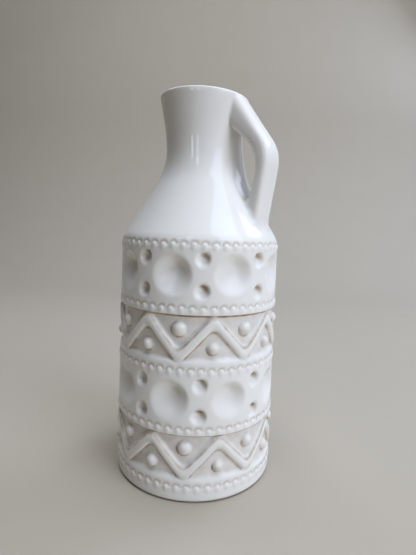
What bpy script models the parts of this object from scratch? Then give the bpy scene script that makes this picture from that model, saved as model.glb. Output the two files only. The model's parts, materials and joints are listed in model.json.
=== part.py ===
"""Relief-cast ceramic jug vase: one hollow slip-cast body and the strap handle that is luted to it.

Sizes are in metres. +Z is up, the origin is the middle of the foot on the table, and the handle stands on +X.
"""
import math

import bmesh
import bpy
from mathutils import Matrix, Vector

# Body: a slightly tapering wall, a rounded shoulder, a cone up to the throat and a flaring neck
BASE_RADIUS = 0.0551
SHOULDER_RADIUS = 0.0531
SHOULDER_HEIGHT = 0.1598
SHOULDER_ROUND = 0.0140
CONE_LEAN = math.radians(31.5)
THROAT_RADIUS = 0.0250
THROAT_ROUND = 0.0400
NECK_HEIGHT = 0.0340
LIP_RADIUS = 0.0300
LIP_FLARE = math.radians(10.0)

# Wall, lip, floor and foot of the casting
WALL = 0.0050
LIP_EDGE_ROUND = 0.0014
FLOOR = 0.0060
FLOOR_ROUND = 0.0100
FOOT_EDGE_ROUND = 0.0030
FOOT_RING_WIDTH = 0.0070
FOOT_RECESS = 0.0025
FOOT_RECESS_SLOPE = 0.0020

# Relief: two like registers, each a zigzag ribbon between sunk triangles under a band of dimples
REGISTER_BOTTOMS = (0.0120, 0.0852)
ZIGZAG_TURNS = (math.radians(5.3), math.radians(-0.5))
DIMPLE_TURN = math.radians(6.5)
SUNK_BOTTOM = 0.0047
SUNK_TOP = 0.0309
SUNK_DEPTH = 0.0020
SUNK_DRAFT = 0.0004
SUNK_CORNER = 0.0011

# Zigzag ribbon: what the sunk triangles leave standing
RIBBON_COUNT = 8
RIBBON_MIDDLE = 0.0162
RIBBON_SWING = 0.0096
RIBBON_HEIGHT = 0.0108
RIBBON_CORNER_SHARPNESS = 0.95

# Pellets, one in each sunk triangle
PELLET_RADIUS = 0.0045
PELLET_PROUD = 0.0033
PELLET_ROOT = 0.0006
PELLET_HIGH = 0.0223
PELLET_LOW = 0.0108

# Dimples
DIMPLE_COUNT = 9
DIMPLE_RISES = (0.0521, 0.0538)
DIMPLE_WIDTH = 0.0228
DIMPLE_DEPTH = 0.0030
PIT_RADIUS = 0.0044
PIT_DEPTH = 0.0028
PIT_SPREAD = 0.0096

# Bead rows: one under and one over each zigzag, and one under the shoulder
BEAD_COUNT = 54
BEAD_RISES = (-0.0031, 0.0337)
BEAD_SHOULDER_DROP = 0.0035
BEAD_HEIGHT = 0.0044
BEAD_PROUD = 0.0010

# Handle: a strap from just under the lip out to an elbow and down to the shoulder cone
HANDLE_WIDTH = 0.0206
HANDLE_ROOT_FLARE = 0.0045
HANDLE_FLARE_LENGTH = 0.0060
HANDLE_SQUARENESS = 3.2
TOP_ROOT_DROP = 0.0023
TOP_ROOT_DEPTH = 0.0210
ELBOW_REACH = 0.0540
ELBOW_DROP = 0.0358
ELBOW_ROUND_OUTER = 0.0256
ELBOW_ROUND_INNER = 0.0230
ELBOW_SET_BACK = 0.0086
FOOT_ROOT_RADIUS = 0.0474
FOOT_ROOT_DEPTH = 0.0090
ROOT_BURIAL = 0.0090
LUTE_GAP = 0.0003

# Facet counts: a column of the turned body is one bead wide, and the hollow takes fewer rows
TURN_STEPS = BEAD_COUNT
ARC_STEPS = 3
NECK_STEPS = 4
HOLLOW_ARC_STEPS = 2
HOLLOW_NECK_STEPS = 2
FLOOR_STEPS = 4
LIP_STEPS = 2
DIMPLE_SEGMENTS = 12
DIMPLE_RINGS = 12
BALL_SEGMENTS = 8
BALL_RINGS = 4
PELLET_RINGS = 2
STRAP_POINTS = 16
STRAP_ARM_STEPS = 7
STRAP_ELBOW_STEPS = 6
SUNK_SAMPLES = 3

# Places that follow from the sizes above
THROAT_TANGENT_RADIUS = THROAT_RADIUS + THROAT_ROUND * (1.0 - math.cos(CONE_LEAN))
CONE_HEIGHT = (SHOULDER_RADIUS - THROAT_TANGENT_RADIUS) / math.tan(CONE_LEAN)
THROAT_HEIGHT = SHOULDER_HEIGHT + CONE_HEIGHT + THROAT_ROUND * math.sin(CONE_LEAN)
TOTAL_HEIGHT = THROAT_HEIGHT + NECK_HEIGHT
SHOULDER_START = SHOULDER_HEIGHT - SHOULDER_ROUND * math.tan(CONE_LEAN / 2.0)
BEAD_ROWS = [bottom + rise for bottom in REGISTER_BOTTOMS for rise in BEAD_RISES]
BEAD_ROWS.append(SHOULDER_HEIGHT - BEAD_SHOULDER_DROP)

MERGE_DISTANCE = 0.00001
GLAZE_COLOUR = (0.73, 0.72, 0.68, 1.0)
GLAZE_ROUGHNESS = 0.16


def clear_scene():
    """Take away whatever the scene holds at the start."""
    for thing in list(bpy.data.objects):
        bpy.data.objects.remove(thing, do_unlink=True)


def glaze_material(name):
    """Cream-white glossy glaze as a plain Principled surface."""
    material = bpy.data.materials.new(name)
    material.use_nodes = True
    surface = material.node_tree.nodes["Principled BSDF"]
    surface.inputs["Base Color"].default_value = GLAZE_COLOUR
    surface.inputs["Roughness"].default_value = GLAZE_ROUGHNESS
    surface.inputs["Metallic"].default_value = 0.0
    return material


def add_object(name, mesh):
    """Put a mesh into the scene as a named object."""
    thing = bpy.data.objects.new(name, mesh)
    bpy.context.scene.collection.objects.link(thing)
    return thing


def mesh_from_bmesh(name, shape):
    """Close a bmesh into a mesh with its faces pointing out."""
    bmesh.ops.recalc_face_normals(shape, faces=shape.faces)
    mesh = bpy.data.meshes.new(name)
    shape.to_mesh(mesh)
    shape.free()
    mesh.shade_smooth()
    return mesh


def hide_cutter(thing):
    """Mark an object as a tool that only shapes another one."""
    thing.hide_render = True
    thing.display_type = "WIRE"


def add_boolean(thing, tool, operation):
    """Cut a tool out of an object, or join it on."""
    modifier = thing.modifiers.new(tool.name, "BOOLEAN")
    modifier.operation = operation
    modifier.solver = "EXACT"
    modifier.object = tool


def wall_radius(height):
    """Outer radius of the plain wall at a height, by its straight taper."""
    return BASE_RADIUS + (SHOULDER_RADIUS - BASE_RADIUS) * height / SHOULDER_HEIGHT


def shoulder_radius(height):
    """Outer radius of the wall at a height, eased in above the start of the shoulder."""
    climb = max(height - SHOULDER_START, 0.0)
    return wall_radius(height) - SHOULDER_ROUND + math.sqrt(SHOULDER_ROUND ** 2 - climb ** 2)


def arc(centre, radius, start, end, steps):
    """Points of an arc in the radius-height plane, both ends included."""
    points = []
    for step in range(steps + 1):
        angle = start + (end - start) * step / steps
        points.append((centre[0] + radius * math.cos(angle), centre[1] + radius * math.sin(angle)))
    return points


def neck_radius(height):
    """Outer radius between throat and lip: upright at the throat, leaning out by LIP_FLARE at the lip."""
    part = (height - THROAT_HEIGHT) / NECK_HEIGHT
    rise = (LIP_RADIUS - THROAT_RADIUS) * (3.0 * part ** 2 - 2.0 * part ** 3)
    lean = NECK_HEIGHT * math.tan(LIP_FLARE) * (part ** 3 - part ** 2)
    return THROAT_RADIUS + rise + lean


def upper_outline(depth, arc_steps, neck_steps):
    """Shoulder, cone, throat and neck from bottom to lip, a given depth inside the outer face."""
    shoulder_centre = (SHOULDER_RADIUS - SHOULDER_ROUND, SHOULDER_START)
    points = arc(shoulder_centre, SHOULDER_ROUND - depth, 0.0, CONE_LEAN, arc_steps)
    throat_centre = (THROAT_RADIUS + THROAT_ROUND, THROAT_HEIGHT)
    points += arc(throat_centre, THROAT_ROUND + depth, math.pi + CONE_LEAN, math.pi, arc_steps)
    for step in range(1, neck_steps + 1):
        height = THROAT_HEIGHT + (NECK_HEIGHT - LIP_EDGE_ROUND) * step / neck_steps
        points.append((neck_radius(height) - depth, height))
    return points


def outer_outline():
    """The whole outer face from the foot ring up to the lip."""
    edge_centre = (BASE_RADIUS - FOOT_EDGE_ROUND, FOOT_EDGE_ROUND)
    points = arc(edge_centre, FOOT_EDGE_ROUND, -math.pi / 2.0, 0.0, ARC_STEPS)
    for row in sorted(BEAD_ROWS):
        for height in (row - BEAD_HEIGHT / 2.0, row + BEAD_HEIGHT / 2.0):
            points.append((shoulder_radius(height), height))
    top_bead_edge = points[-1][1]
    upper = upper_outline(0.0, ARC_STEPS, NECK_STEPS)
    return points + [point for point in upper if point[1] > top_bead_edge]


def inner_outline():
    """The hollow from the middle of its floor up to the lip."""
    floor_top = FOOT_RECESS + FLOOR
    inner_radius = wall_radius(floor_top) - WALL
    fillet_centre = (inner_radius - FLOOR_ROUND, floor_top + FLOOR_ROUND)
    points = [(0.0, floor_top)]
    points += arc(fillet_centre, FLOOR_ROUND, -math.pi / 2.0, 0.0, FLOOR_STEPS)
    return points + upper_outline(WALL, HOLLOW_ARC_STEPS, HOLLOW_NECK_STEPS)


def lip_outline():
    """Top of the lip with its two rounded edges, from the inner face over to the outer face."""
    height = TOTAL_HEIGHT - LIP_EDGE_ROUND
    inner_centre = (neck_radius(height) - WALL + LIP_EDGE_ROUND, height)
    outer_centre = (neck_radius(height) - LIP_EDGE_ROUND, height)
    inner_edge = arc(inner_centre, LIP_EDGE_ROUND, math.pi, math.pi / 2.0, LIP_STEPS)
    return inner_edge[1:] + arc(outer_centre, LIP_EDGE_ROUND, math.pi / 2.0, 0.0, LIP_STEPS)[:-1]


def foot_outline():
    """Underside from the foot ring's inner edge to the middle of the recess."""
    ring_inner = BASE_RADIUS - FOOT_EDGE_ROUND - FOOT_RING_WIDTH
    return [(ring_inner, 0.0), (ring_inner - FOOT_RECESS_SLOPE, FOOT_RECESS), (0.0, FOOT_RECESS)]


def turned_shape(outline):
    """Turn an outline that starts and ends on the axis about +Z, with its faces pointing out."""
    shape = bmesh.new()
    half_column = Matrix.Rotation(math.pi / TURN_STEPS, 3, "Z")
    verts = [shape.verts.new(half_column @ Vector((radius, 0.0, height))) for radius, height in outline]
    edges = [shape.edges.new(ends) for ends in zip(verts, verts[1:])]
    bmesh.ops.spin(
        shape, geom=verts + edges, cent=(0.0, 0.0, 0.0), axis=(0.0, 0.0, 1.0), angle=math.tau,
        steps=TURN_STEPS, use_merge=True
    )
    bmesh.ops.remove_doubles(shape, verts=shape.verts, dist=MERGE_DISTANCE)
    bmesh.ops.recalc_face_normals(shape, faces=shape.faces)
    return shape


def raise_beads(shape):
    """Raise a bead from each face of the turned wall that lies in a bead row."""
    beads = []
    for face in shape.faces:
        middle = face.calc_center_median()
        outside = math.hypot(middle.x, middle.y) > wall_radius(middle.z) - WALL / 2.0
        in_row = any(abs(middle.z - row) < MERGE_DISTANCE for row in BEAD_ROWS)
        if outside and in_row:
            beads.append(face)
    bmesh.ops.poke(shape, faces=beads, offset=BEAD_PROUD)


def on_wall(angle, radius, height):
    """Matrix whose local +X points out of the wall at an angle, radius and height."""
    return Matrix.Rotation(angle, 4, "Z") @ Matrix.Translation(Vector((radius, 0.0, height)))


def add_ball(shape, matrix, sizes, segments, rings):
    """Add an ellipsoid with its pole along local +X, given its half sizes along local X, Y and Z."""
    pole_out = Matrix.Rotation(math.pi / 2.0, 4, "Y")
    scale = Matrix.Diagonal((*sizes, 1.0))
    bmesh.ops.create_uvsphere(
        shape, u_segments=segments, v_segments=rings, radius=1.0, matrix=matrix @ scale @ pole_out
    )


def add_dimples(shape, height):
    """Add the balls that press a band's round dimples and the small pits between them."""
    half_width = DIMPLE_WIDTH / 2.0
    ball_radius = (half_width ** 2 + DIMPLE_DEPTH ** 2) / (2.0 * DIMPLE_DEPTH)
    wall = wall_radius(height)
    sagitta = wall - math.sqrt(wall ** 2 - half_width ** 2)
    stretch = math.sqrt((DIMPLE_DEPTH + sagitta) / DIMPLE_DEPTH)
    sizes = (ball_radius, ball_radius * stretch, ball_radius)
    step = math.tau / DIMPLE_COUNT
    for index in range(DIMPLE_COUNT):
        angle = DIMPLE_TURN + index * step
        place = on_wall(angle, wall - DIMPLE_DEPTH + ball_radius, height)
        add_ball(shape, place, sizes, DIMPLE_SEGMENTS, DIMPLE_RINGS)
        for pit_height in (height - PIT_SPREAD, height + PIT_SPREAD):
            pit_place = on_wall(angle + step / 2.0, wall - PIT_DEPTH + PIT_RADIUS, pit_height)
            add_ball(shape, pit_place, (PIT_RADIUS,) * 3, BALL_SEGMENTS, BALL_RINGS)


def ribbon_rise(angle):
    """Height of the ribbon's middle over its register's bottom, by the angle from an upper corner."""
    wave = math.asin(RIBBON_CORNER_SHARPNESS * math.cos(RIBBON_COUNT * angle))
    return RIBBON_MIDDLE + RIBBON_SWING * wave / math.asin(RIBBON_CORNER_SHARPNESS)


def ribbon_angle(rise):
    """Angle from an upper corner at which the ribbon's middle has a given height: the way back."""
    wave = math.sin((rise - RIBBON_MIDDLE) / RIBBON_SWING * math.asin(RIBBON_CORNER_SHARPNESS))
    return math.acos(wave / RIBBON_CORNER_SHARPNESS) / RIBBON_COUNT


def sunk_spans(upper):
    """Angles from an upper corner, with the low and high edge of a sunk triangle at each of them."""
    half_step = math.pi / RIBBON_COUNT
    half_ribbon = RIBBON_HEIGHT / 2.0
    if upper:
        reach = half_step - ribbon_angle(SUNK_TOP - SUNK_CORNER - half_ribbon)
    else:
        reach = ribbon_angle(SUNK_BOTTOM + SUNK_CORNER + half_ribbon)
    spans = []
    for sample in range(-SUNK_SAMPLES, SUNK_SAMPLES + 1):
        away = reach * sample / SUNK_SAMPLES
        if upper:
            spans.append((half_step + away, ribbon_rise(half_step + away) + half_ribbon, SUNK_TOP))
        else:
            spans.append((away, SUNK_BOTTOM, ribbon_rise(away) - half_ribbon))
    return spans


def add_sunk_triangle(shape, bottom, turn, spans):
    """Add one cutter that sinks a triangle beside the ribbon, with drafted sides."""
    rings = []
    for away, low, high in spans:
        ring = []
        for depth in (SUNK_DEPTH, -SUNK_DEPTH):
            inset = math.copysign(SUNK_DRAFT, depth)
            for rise in (low + inset, high - inset):
                radius = wall_radius(bottom + rise) - depth
                angle = turn + away
                ring.append(shape.verts.new(
                    (radius * math.cos(angle), radius * math.sin(angle), bottom + rise)
                ))
        rings.append([ring[0], ring[1], ring[3], ring[2]])
    close_loft(shape, rings)


def close_loft(shape, rings):
    """Join rings of vertices one to the next, fill the first and the last, and give the last face."""
    count = len(rings[0])
    for ring, following in zip(rings, rings[1:]):
        for index in range(count):
            after = (index + 1) % count
            shape.faces.new((ring[index], ring[after], following[after], following[index]))
    shape.faces.new(rings[0])
    return shape.faces.new(rings[-1])


def relief_cutter():
    """Everything that is pressed into the wall: dimples, pits and sunk triangles."""
    shape = bmesh.new()
    step = math.tau / RIBBON_COUNT
    for bottom, turn, dimple_rise in zip(REGISTER_BOTTOMS, ZIGZAG_TURNS, DIMPLE_RISES):
        add_dimples(shape, bottom + dimple_rise)
        for index in range(RIBBON_COUNT):
            for upper in (False, True):
                add_sunk_triangle(shape, bottom, turn + index * step, sunk_spans(upper))
    cutter = add_object("relief_cutter", mesh_from_bmesh("relief_cutter", shape))
    hide_cutter(cutter)
    return cutter


def add_pellet(shape, place):
    """Add one domed pellet that stands on the sunk ground, with a short root in it."""
    levels = [(PELLET_RADIUS, -PELLET_ROOT)]
    for ring in range(PELLET_RINGS):
        angle = math.pi / 2.0 * ring / PELLET_RINGS
        levels.append((PELLET_RADIUS * math.cos(angle), PELLET_PROUD * math.sin(angle)))
    rings = []
    for radius, rise in levels:
        ring = []
        for segment in range(BALL_SEGMENTS):
            angle = math.tau * segment / BALL_SEGMENTS
            spot = Vector((rise, radius * math.cos(angle), radius * math.sin(angle)))
            ring.append(shape.verts.new(place @ spot))
        rings.append(ring)
    crown = close_loft(shape, rings)
    pole = bmesh.ops.poke(shape, faces=[crown])["verts"][0]
    pole.co = place @ Vector((PELLET_PROUD, 0.0, 0.0))


def pellets():
    """The pellets of both registers: one low under each upper corner, one high between them."""
    shape = bmesh.new()
    step = math.tau / RIBBON_COUNT
    for bottom, turn in zip(REGISTER_BOTTOMS, ZIGZAG_TURNS):
        for index in range(RIBBON_COUNT):
            corner = turn + index * step
            for angle, rise in ((corner, PELLET_LOW), (corner + step / 2.0, PELLET_HIGH)):
                height = bottom + rise
                add_pellet(shape, on_wall(angle, wall_radius(height) - SUNK_DEPTH, height))
    domes = add_object("pellets", mesh_from_bmesh("pellets", shape))
    hide_cutter(domes)
    return domes


def build_body():
    """The hollow casting with its relief."""
    outline = inner_outline() + lip_outline() + outer_outline()[::-1] + foot_outline()
    shape = turned_shape(outline)
    raise_beads(shape)
    body = add_object("vessel_body", mesh_from_bmesh("vessel_body", shape))
    body.data.materials.append(glaze_material("cream_glazed_body"))
    add_boolean(body, relief_cutter(), "DIFFERENCE")
    add_boolean(body, pellets(), "UNION")
    return body


def cone_height(radius):
    """Height at which the shoulder cone has a given outer radius."""
    return SHOULDER_HEIGHT + (SHOULDER_RADIUS - radius) / math.tan(CONE_LEAN)


def eased_corner(start, corner, end, radius):
    """A path from start to end with its corner rounded, as evenly counted points."""
    towards_start = (start - corner).normalized()
    towards_end = (end - corner).normalized()
    half_angle = towards_start.angle(towards_end) / 2.0
    tangent = radius / math.tan(half_angle)
    centre = corner + (towards_start + towards_end).normalized() * (radius / math.sin(half_angle))
    first = corner + towards_start * tangent
    last = corner + towards_end * tangent
    points = [start.lerp(first, step / STRAP_ARM_STEPS) for step in range(STRAP_ARM_STEPS)]
    for step in range(STRAP_ELBOW_STEPS + 1):
        spoke = (first - centre).slerp(last - centre, step / STRAP_ELBOW_STEPS)
        points.append(centre + spoke.normalized() * radius)
    points += [last.lerp(end, step / STRAP_ARM_STEPS) for step in range(1, STRAP_ARM_STEPS + 1)]
    return points


def buried_arms(top, elbow, foot):
    """The corners of a strap face, with both ends carried on into the body for trimming."""
    buried_top = top + (top - elbow).normalized() * ROOT_BURIAL
    buried_foot = foot + (foot - elbow).normalized() * ROOT_BURIAL
    return buried_top, elbow, buried_foot


def strap_section(shape, outer, inner, width):
    """One rounded-rectangle section of the strap between its outer and inner face."""
    middle = (outer + inner) / 2.0
    half_thickness = (outer - inner) / 2.0
    power = 2.0 / HANDLE_SQUARENESS
    ring = []
    for index in range(STRAP_POINTS):
        angle = math.tau * (index + 0.5) / STRAP_POINTS
        across = math.copysign(abs(math.cos(angle)) ** power, math.cos(angle))
        along = math.copysign(abs(math.sin(angle)) ** power, math.sin(angle))
        point = middle + half_thickness * across
        ring.append(shape.verts.new((point.x, along * width / 2.0, point.y)))
    return ring


def strap_width(place, first, last):
    """Width of the strap, flaring softly towards both of its roots."""
    near = min((place - first).length, (place - last).length) - ROOT_BURIAL
    return HANDLE_WIDTH + HANDLE_ROOT_FLARE * math.exp(-max(near, 0.0) / HANDLE_FLARE_LENGTH)


def build_handle():
    """The strap handle, lofted along its two faces and cut off where it meets the body."""
    lip_z = TOTAL_HEIGHT - TOP_ROOT_DROP
    elbow = Vector((ELBOW_REACH, TOTAL_HEIGHT - ELBOW_DROP))
    top_outer = Vector((neck_radius(lip_z), lip_z))
    top_inner = Vector((neck_radius(lip_z - TOP_ROOT_DEPTH), lip_z - TOP_ROOT_DEPTH))
    foot_outer = Vector((FOOT_ROOT_RADIUS, cone_height(FOOT_ROOT_RADIUS)))
    foot_inner_radius = FOOT_ROOT_RADIUS - FOOT_ROOT_DEPTH
    foot_inner = Vector((foot_inner_radius, cone_height(foot_inner_radius)))
    set_back = (top_outer - elbow).normalized() + (foot_outer - elbow).normalized()
    inner_elbow = elbow + set_back.normalized() * ELBOW_SET_BACK
    outer_path = eased_corner(*buried_arms(top_outer, elbow, foot_outer), ELBOW_ROUND_OUTER)
    inner_path = eased_corner(*buried_arms(top_inner, inner_elbow, foot_inner), ELBOW_ROUND_INNER)
    shape = bmesh.new()
    rings = []
    for outer, inner in zip(outer_path, inner_path):
        width = strap_width(outer, outer_path[0], outer_path[-1])
        rings.append(strap_section(shape, outer, inner, width))
    close_loft(shape, rings)
    handle = add_object("handle", mesh_from_bmesh("handle", shape))
    handle.data.materials.append(glaze_material("cream_glazed_handle"))
    add_boolean(handle, seat_cutter(), "DIFFERENCE")
    return handle


def seat_cutter():
    """The body's outside grown by the luting gap, which trims the handle's two roots."""
    outline = upper_outline(-LUTE_GAP, ARC_STEPS, NECK_STEPS)
    below = SHOULDER_HEIGHT - SHOULDER_ROUND - FOOT_ROOT_DEPTH
    above = TOTAL_HEIGHT + ROOT_BURIAL
    outline = [(0.0, below), (outline[0][0], below)] + outline + [(outline[-1][0], above), (0.0, above)]
    cutter = add_object("seat_cutter", mesh_from_bmesh("seat_cutter", turned_shape(outline)))
    hide_cutter(cutter)
    return cutter


def main():
    """Build the vase."""
    clear_scene()
    build_body()
    build_handle()


main()
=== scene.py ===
"""The glazed surfaces, stage, light and camera of a relief-cast ceramic jug vase."""
import json
import math

import bmesh
import bpy
import numpy as np
from mathutils import Matrix, Vector

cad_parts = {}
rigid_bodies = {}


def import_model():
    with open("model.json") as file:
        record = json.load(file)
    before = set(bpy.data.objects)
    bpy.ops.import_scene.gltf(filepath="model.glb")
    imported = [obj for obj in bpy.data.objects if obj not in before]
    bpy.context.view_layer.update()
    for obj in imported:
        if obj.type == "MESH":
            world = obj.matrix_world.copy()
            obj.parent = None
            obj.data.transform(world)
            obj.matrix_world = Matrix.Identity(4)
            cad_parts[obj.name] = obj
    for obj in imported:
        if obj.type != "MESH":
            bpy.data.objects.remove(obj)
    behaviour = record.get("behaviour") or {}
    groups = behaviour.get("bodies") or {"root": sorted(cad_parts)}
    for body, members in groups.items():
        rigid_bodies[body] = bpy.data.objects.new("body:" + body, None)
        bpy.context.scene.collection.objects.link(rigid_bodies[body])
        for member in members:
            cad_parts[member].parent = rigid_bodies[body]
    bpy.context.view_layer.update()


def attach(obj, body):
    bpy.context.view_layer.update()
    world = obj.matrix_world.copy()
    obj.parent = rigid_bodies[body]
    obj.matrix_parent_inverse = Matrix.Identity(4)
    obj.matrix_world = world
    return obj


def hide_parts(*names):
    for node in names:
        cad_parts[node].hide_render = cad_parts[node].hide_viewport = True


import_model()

bl_info = {
    "name": "Relief Jug Vase",
    "version": (1, 0, 0),
    "blender": (4, 5, 0),
    "location": "3D View > Sidebar > Vase",
    "description": "Models a relief-cast ceramic jug vase with its glaze, stage, light and camera",
    "category": "Add Mesh",
}

MM = 0.001
MERGE_DISTANCE = 0.002 * MM
RELIEF_SEED = 7

# Inputs and output of a colour Mix node, whose socket names repeat
MIX_FACTOR, MIX_FIRST, MIX_SECOND, MIX_RESULT = 0, 6, 7, 2


def linear_colour(code):
    """Turn an sRGB hex code into linear red, green and blue."""
    channels = []
    for start in (1, 3, 5):
        value = int(code[start:start + 2], 16) / 255.0
        channels.append(value / 12.92 if value <= 0.04045 else ((value + 0.055) / 1.055) ** 2.4)
    return tuple(channels)


def length(name, default, description):
    """A property that holds a length, given in millimetres and kept in metres."""
    return bpy.props.FloatProperty(
        name=name, description=description, default=default * MM, unit="LENGTH", precision=5
    )


def lengths(name, default, description):
    """A property that holds a few lengths, given in millimetres and kept in metres."""
    return bpy.props.FloatVectorProperty(
        name=name, description=description, default=[value * MM for value in default], size=len(default),
        unit="LENGTH", precision=5
    )


def whole_number(name, default, description):
    """A property that holds a number of things."""
    return bpy.props.IntProperty(name=name, description=description, default=default)


def angle(name, default, description):
    """A property that holds an angle, given in degrees and kept in radians."""
    return bpy.props.FloatProperty(
        name=name, description=description, default=math.radians(default), subtype="ANGLE"
    )


def colour(name, code, description):
    """A property that holds a colour, given as an sRGB hex code."""
    return bpy.props.FloatVectorProperty(
        name=name, description=description, default=linear_colour(code), size=3, subtype="COLOR",
        min=0.0, max=1.0
    )


class VaseBodySizes(bpy.types.PropertyGroup):
    """Sizes of the turned form: wall, shoulder, neck, lip, hollow and foot."""
    base_radius: length("Base radius", 55.1, "Outer radius of the wall, carried down to its foot")
    shoulder_radius: length("Shoulder radius", 53.1, "Outer radius where wall and cone would meet")
    shoulder_height: length("Shoulder height", 159.8, "Height where wall and cone would meet")
    shoulder_round: length("Shoulder round", 14.0, "Radius that eases the wall into the cone")
    cone_lean: angle("Cone lean", 31.5, "Lean of the shoulder cone from upright")
    throat_radius: length("Throat radius", 25.0, "Outer radius at the narrowest place")
    throat_round: length("Throat round", 40.0, "Radius that eases the cone into the neck")
    neck_height: length("Neck height", 34.0, "Height of the neck from throat to lip")
    lip_radius: length("Lip radius", 30.0, "Outer radius of the lip")
    lip_flare: angle("Lip flare", 10.0, "Lean of the neck at the lip")
    lip_edge_round: length("Lip edge round", 1.4, "Radius of the lip's two edges")
    lip_tip: angle("Lip tip", 1.8, "How far the lip stands out of level")
    lip_high_side: angle("Lip high side", 212.5, "Angle round the axis at which the lip stands highest")
    throat_swell: length("Throat swell", 2.5, "How far the throat swells out behind the handle")
    throat_swell_side: angle("Throat swell side", 22.0, "Angle round the axis of that swelling")
    wall: length("Wall", 5.0, "Thickness of the casting")
    floor: length("Floor", 6.0, "Thickness of the floor")
    floor_round: length("Floor round", 10.0, "Radius between floor and wall inside")
    foot_edge_round: length("Foot edge round", 2.6, "Radius of the foot's outer edge")
    foot_ring_width: length("Foot ring width", 7.0, "Width of the flat ring that the vase stands on")
    foot_recess: length("Foot recess", 2.5, "Depth of the underside inside the ring")
    foot_recess_slope: length("Foot recess slope", 2.0, "Run of the slope inside the ring")
    columns: whole_number("Columns", 432, "Columns of faces round the relief wall")
    plain_columns_in: whole_number("Plain thinning", 4, "Columns that share a face away from the relief")


class VaseReliefSizes(bpy.types.PropertyGroup):
    """Sizes and places of what is cast into the wall."""
    register_bottoms: lengths("Register bottoms", (12.0, 85.2), "Height at which each zigzag register starts")
    zigzag_turns: bpy.props.FloatVectorProperty(
        name="Zigzag turns", description="Angle of one upper zigzag corner in each register",
        default=(math.radians(5.3), math.radians(-0.5)), size=2, unit="ROTATION"
    )
    ledge_height: length("Ledge height", 5.0, "Height of the half-round ledge under a zigzag")
    sunk_top: length("Sunk top", 30.9, "Height of the sunk ground's crisp upper edge")
    sunk_depth: length("Sunk depth", 1.9, "Depth of the ground beside the ribbon")
    step_width: length("Step width", 0.9, "Height over which the ground steps out at its top")
    ribbon_count: whole_number("Ribbon corners", 8, "Upper corners of a zigzag round the wall")
    ribbon_middle: length("Ribbon middle", 16.5, "Mean height of the ribbon's middle line")
    ribbon_swing: length("Ribbon swing", 11.2, "Rise and fall of that line, to its sharp corners")
    ribbon_half_width: length("Ribbon half width", 3.1, "Half the ribbon's width, at half its relief")
    ribbon_flank: length("Ribbon flank", 2.4, "Width of each sloping flank")
    ribbon_proud: length("Ribbon proud", 0.5, "How far the ribbon's crown stands over the wall")
    ribbon_crown: length("Ribbon crown", 0.8, "Fall from the ribbon's crown to its edges")
    ribbon_corner: length("Ribbon corner", 3.6, "Height over which the zigzag's corners are rounded")
    pellet_high_radius: length("High pellet radius", 4.3, "Radius of the pellets between upper corners")
    pellet_low_radius: length("Low pellet radius", 3.8, "Radius of the pellets under upper corners")
    pellet_proud: length("Pellet proud", 3.0, "How far a pellet stands over the sunk ground")
    pellet_high: length("High pellet", 22.3, "Height of the pellets between upper corners")
    pellet_low: length("Low pellet", 10.8, "Height of the pellets under upper corners")
    dimple_count: whole_number("Dimples", 9, "Large dimples round a register")
    dimple_turn: angle("Dimple turn", 6.5, "Angle of one large dimple")
    dimple_rises: lengths("Dimple rises", (52.1, 53.8), "Height of the dimples over each register's bottom")
    dimple_radius: length("Dimple radius", 13.0, "Radius at which a large dimple fades out")
    dimple_depth: length("Dimple depth", 4.5, "Depth of a large dimple")
    press_lean: bpy.props.FloatVectorProperty(
        name="Press lean", description="Place of a hollow's deepest point, in parts of its radius",
        default=(0.16, 0.42), size=2
    )
    pit_radius: length("Pit radius", 4.6, "Radius of the small pits between dimples")
    pit_depth: length("Pit depth", 3.2, "Depth of a small pit")
    pit_spread: length("Pit spread", 9.6, "Distance of a pit above or below the dimples' middle")
    bead_heights: lengths("Bead rows", (9.0, 45.6, 82.1, 119.2, 156.0), "Heights of the bead rows")
    bead_count: whole_number("Beads", 54, "Beads in a row")
    bead_radius: length("Bead radius", 2.1, "Half width of a bead")
    bead_tail: length("Bead tail", 3.2, "Length over which a bead fades out downwards")
    bead_proud: length("Bead proud", 0.42, "How far a bead stands over the wall")
    bead_groove: length("Bead groove", 0.42, "Depth of the groove round a bead's upper half")
    bead_groove_width: length("Bead groove width", 0.8, "Half width of that groove")
    handwork: length("Handwork", 0.25, "How far single pellets, pits and beads stray from their places")


class VaseHandleSizes(bpy.types.PropertyGroup):
    """Sizes of the strap handle."""
    width: length("Width", 20.8, "Width of the strap")
    squareness: bpy.props.FloatProperty(
        name="Squareness", description="2 gives an oval section, more squares it up", default=3.2
    )
    top_depth: length("Top depth", 21.0, "Height of the root on the neck")
    elbow_reach: length("Elbow reach", 54.0, "Distance of the outer elbow corner from the axis")
    elbow_drop: length("Elbow drop", 35.8, "Fall from the lip to the outer elbow corner")
    elbow_round_outer: length("Outer elbow round", 25.6, "Radius of the elbow's outer face")
    elbow_round_inner: length("Inner elbow round", 23.0, "Radius of the elbow's inner face")
    elbow_set_back: length("Elbow set back", 8.6, "Distance between the two elbow corners")
    foot_radius: length("Foot radius", 47.4, "Distance of the lower root's outer edge from the axis")
    foot_depth: length("Foot depth", 9.0, "Depth of the lower root towards the axis")
    top_fillet: length("Top fillet", 1.6, "Reach of the smoothed slip round the upper root")
    foot_fillet: length("Foot fillet", 5.0, "Reach of the smoothed slip round the lower root")
    burial: length("Burial", 9.0, "How far the strap's faces run on into the body")
    root_cover: length("Root cover", 0.8, "Depth of the strap's end under the body's glaze")


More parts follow.
